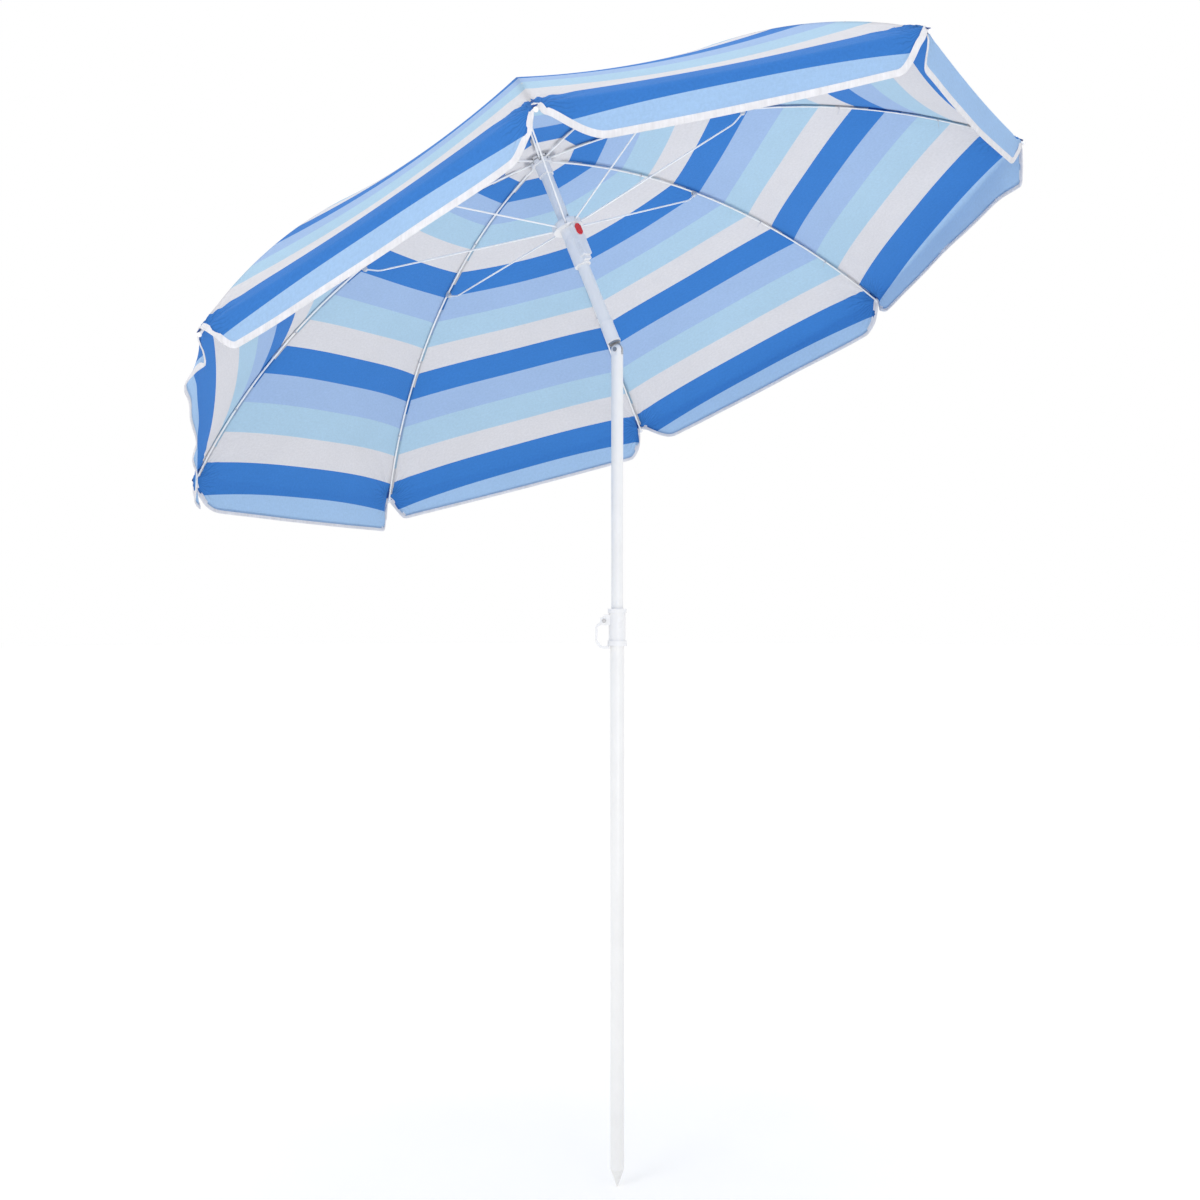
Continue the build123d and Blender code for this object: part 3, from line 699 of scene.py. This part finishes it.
def make_seam(rib):
    """The joined edges of two panels, folded to one side along the rib under the cloth."""
    row = slice(SEAM_FIRST_ROW, FLAP_FIRST - 2)
    column = rib * 2 * HALF_COLUMNS
    line = POINTS[row, column]
    normal = NORMALS[row, column]
    side = unit(POINTS[row, column + 4] - line)
    wander = 0.0004 * np.sin(np.arange(len(line)) * 1.7 + rib)[:, None]
    rings = np.stack([
        line + side * (b + wander * (b > 0.001)) + normal * n for b, n in SEAM_SECTION
    ], axis=1)
    rows, columns = len(line), len(SEAM_SECTION)
    faces = grid_faces(rows, columns, closed=True)
    stripe = np.repeat(column_data(1, column)[row] - SEAM_SHIFT, columns)
    out = np.repeat(LENGTHS[row], columns)
    uv = np.stack((np.tile([b for b, _ in SEAM_SECTION], rows), out), axis=1)
    seam = piece(f"seam_{rib + 1}", rings.reshape(-1, 3), faces, SEAM, uv, stripe)
    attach(seam, f"rib_{rib + 1}")


def rib_frame(rib, radius):
    """A point on a rib's centre line, with the ways along it and out of the dome."""
    reach = (radius - RIB_ARC_START) / RIB_ARC_R
    height = CROWN_D - RIB_ARC_R + RIB_ARC_R * sqrt(1 - reach**2)
    point = RIVET + radius * SPOKES[rib] + height * AXIS
    along = sqrt(1 - reach**2) * SPOKES[rib] - reach * AXIS
    out = sqrt(1 - reach**2) * AXIS + reach * SPOKES[rib]
    return point, along, out


def make_pocket(rib):
    """The flat cloth pouch, between cloth and wire, that hooks over the tip and keeps it in place."""
    point, along, out = rib_frame(rib, RIM_R)
    side = TANGENTS[rib]
    turns = np.linspace(0, tau, 20, endpoint=False)
    rings = []
    for place, wide, thick, lift in POUCH:
        fold = 1 + 0.07 * np.sin(6 * turns + rib + 90 * place)
        rings.append([
            point + along * place + side * (wide * f * cos(t) + 0.0008) + out * (thick * f * sin(t) + lift)
            for t, f in zip(turns, fold)
        ])
    pocket = loft(f"tip_pocket_{rib + 1}", rings, POCKET)
    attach(pocket, f"rib_{rib + 1}")


def make_ties(rib):
    """Loops of thread, each with a small bow, that tie the seam to its rib."""
    for number, radius in enumerate(TIE_RADII):
        point, along, out = rib_frame(rib, radius)
        side = TANGENTS[rib]
        curve = bpy.data.curves.new(f"tie_{rib + 1}_{number + 1}", "CURVE")
        curve.dimensions = "3D"
        curve.bevel_depth = TIE_THREAD
        curve.bevel_resolution = 2
        curve.use_fill_caps = True
        turns = np.linspace(0, TIE_TURNS * tau, 12 * TIE_TURNS + 1)
        helix = [
            point + along * (0.0012 * (t / tau - TIE_TURNS / 2)) + side * 0.0028 * cos(t)
            + out * (0.0008 + 0.0036 * sin(t))
            for t in turns
        ]
        tails = [
            helix[-1] - out * 0.004 + side * 0.004,
            helix[-1] - out * 0.011 + side * 0.007 + along * 0.003 * (-1) ** number,
        ]
        spline = curve.splines.new("NURBS")
        path = helix + tails
        spline.points.add(len(path) - 1)
        for target, place in zip(spline.points, path):
            target.co = (*place, 1.0)
        spline.order_u = 3
        spline.use_endpoint_u = True
        curve.materials.append(THREAD)
        tie = bpy.data.objects.new(curve.name, curve)
        bpy.context.scene.collection.objects.link(tie)
        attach(tie, f"rib_{rib + 1}")


def make_patch():
    """A round reinforcement sewn over the crown, which shows beside the finial's foot."""
    turns = np.linspace(0, tau, 64, endpoint=False)
    base, quarter = SPOKES[0], np.cross(AXIS, SPOKES[0])
    rings = []
    for radius, lift in PATCH_RINGS:
        lower = (CROWN_LIFT - CLOTH_LIFT) * float(smooth(*CROWN_LIE, radius))
        height = CROWN_D + CROWN_LIFT - lower + lift
        rings.append([
            RIVET + AXIS * height + radius * (1 + 0.012 * sin(16 * t)) * (cos(t) * base + sin(t) * quarter)
            for t in turns
        ])
    grid = np.array(rings)
    around, last = len(turns), (len(rings) - 1) * len(turns)
    faces = grid_faces(len(rings), around, closed=True)
    faces += [(last + c, last + (c + 1) % around, (c + 1) % around, c) for c in range(around)]
    patch = piece("crown_patch_cloth", grid.reshape(-1, 3), faces, PATCH)
    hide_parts("crown_patch")
    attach(patch, "upper_pole")


for index in range(RIBS):
    make_gore(index)
    make_tape(index)
    make_seam(index)
    make_pocket(index)
    make_ties(index)
make_patch()


# --- floor, light and camera ---------------------------------------------------------------------
FLOOR_R = 40


def make_floor():
    """A wide pale studio floor that the spike stands on."""
    nodes = Nodes("studio floor")
    place = nodes.add("ShaderNodeTexCoord").outputs["Object"]
    tone = nodes.ramp(nodes.noise(place, 3.0), ((0.3, grey(0.86)), (0.7, grey(0.88))))
    nodes.link(tone, nodes.shader.inputs["Base Color"])
    nodes.settings(nodes.shader, Roughness=0.9, Emission_Strength=0.13)
    nodes.shader.inputs["Emission Color"].default_value = (1.0, 1.0, 1.0, 1.0)
    level = CAD_BOX[0][2] - 0.0005
    turns = np.linspace(0, tau, 96, endpoint=False)
    ring = [(FLOOR_R * cos(t), FLOOR_R * sin(t), level) for t in turns]
    floor = piece("studio_floor", ring, [tuple(range(len(ring)))], nodes.material)


def make_light(name, place, aim, size, power, spread=180):
    light = bpy.data.lights.new(name, "AREA")
    light.shape = "DISK"
    light.size = size
    light.energy = power
    light.spread = radians(spread)
    made = bpy.data.objects.new(name, light)
    made.location = place
    made.rotation_euler = (Vector(aim) - Vector(place)).to_track_quat("-Z", "Y").to_euler()
    bpy.context.scene.collection.objects.link(made)


def make_world():
    world = bpy.data.worlds.new("studio")
    world.use_nodes = True
    world.node_tree.nodes["Background"].inputs["Color"].default_value = (1.0, 1.0, 1.0, 1.0)
    world.node_tree.nodes["Background"].inputs["Strength"].default_value = 1.0
    bpy.context.scene.world = world
    bpy.context.scene.view_settings.view_transform = "Standard"


def make_camera():
    """Level, in front of the pole, at about the height of a person's chest."""
    camera = bpy.data.cameras.new("camera")
    camera.lens = 46.93
    camera.sensor_width = 36.0
    made = bpy.data.objects.new("camera", camera)
    made.location = (-0.0346, -3.1455, 1.1424)
    made.rotation_euler = (pi / 2, 0.0, 0.0)
    bpy.context.scene.collection.objects.link(made)
    bpy.context.scene.camera = made


make_floor()
make_world()
make_light("key", (-2.2, -2.6, 3.6), (-0.2, 0.0, 1.9), 1.8, 26)
make_light("top", (0.4, 0.6, 4.4), (-0.2, 0.2, 2.0), 2.4, 26)
make_light("fill", (0.9, -3.3, 0.9), (0.0, 0.0, 2.3), 2.0, 4.6, spread=70)
make_camera()
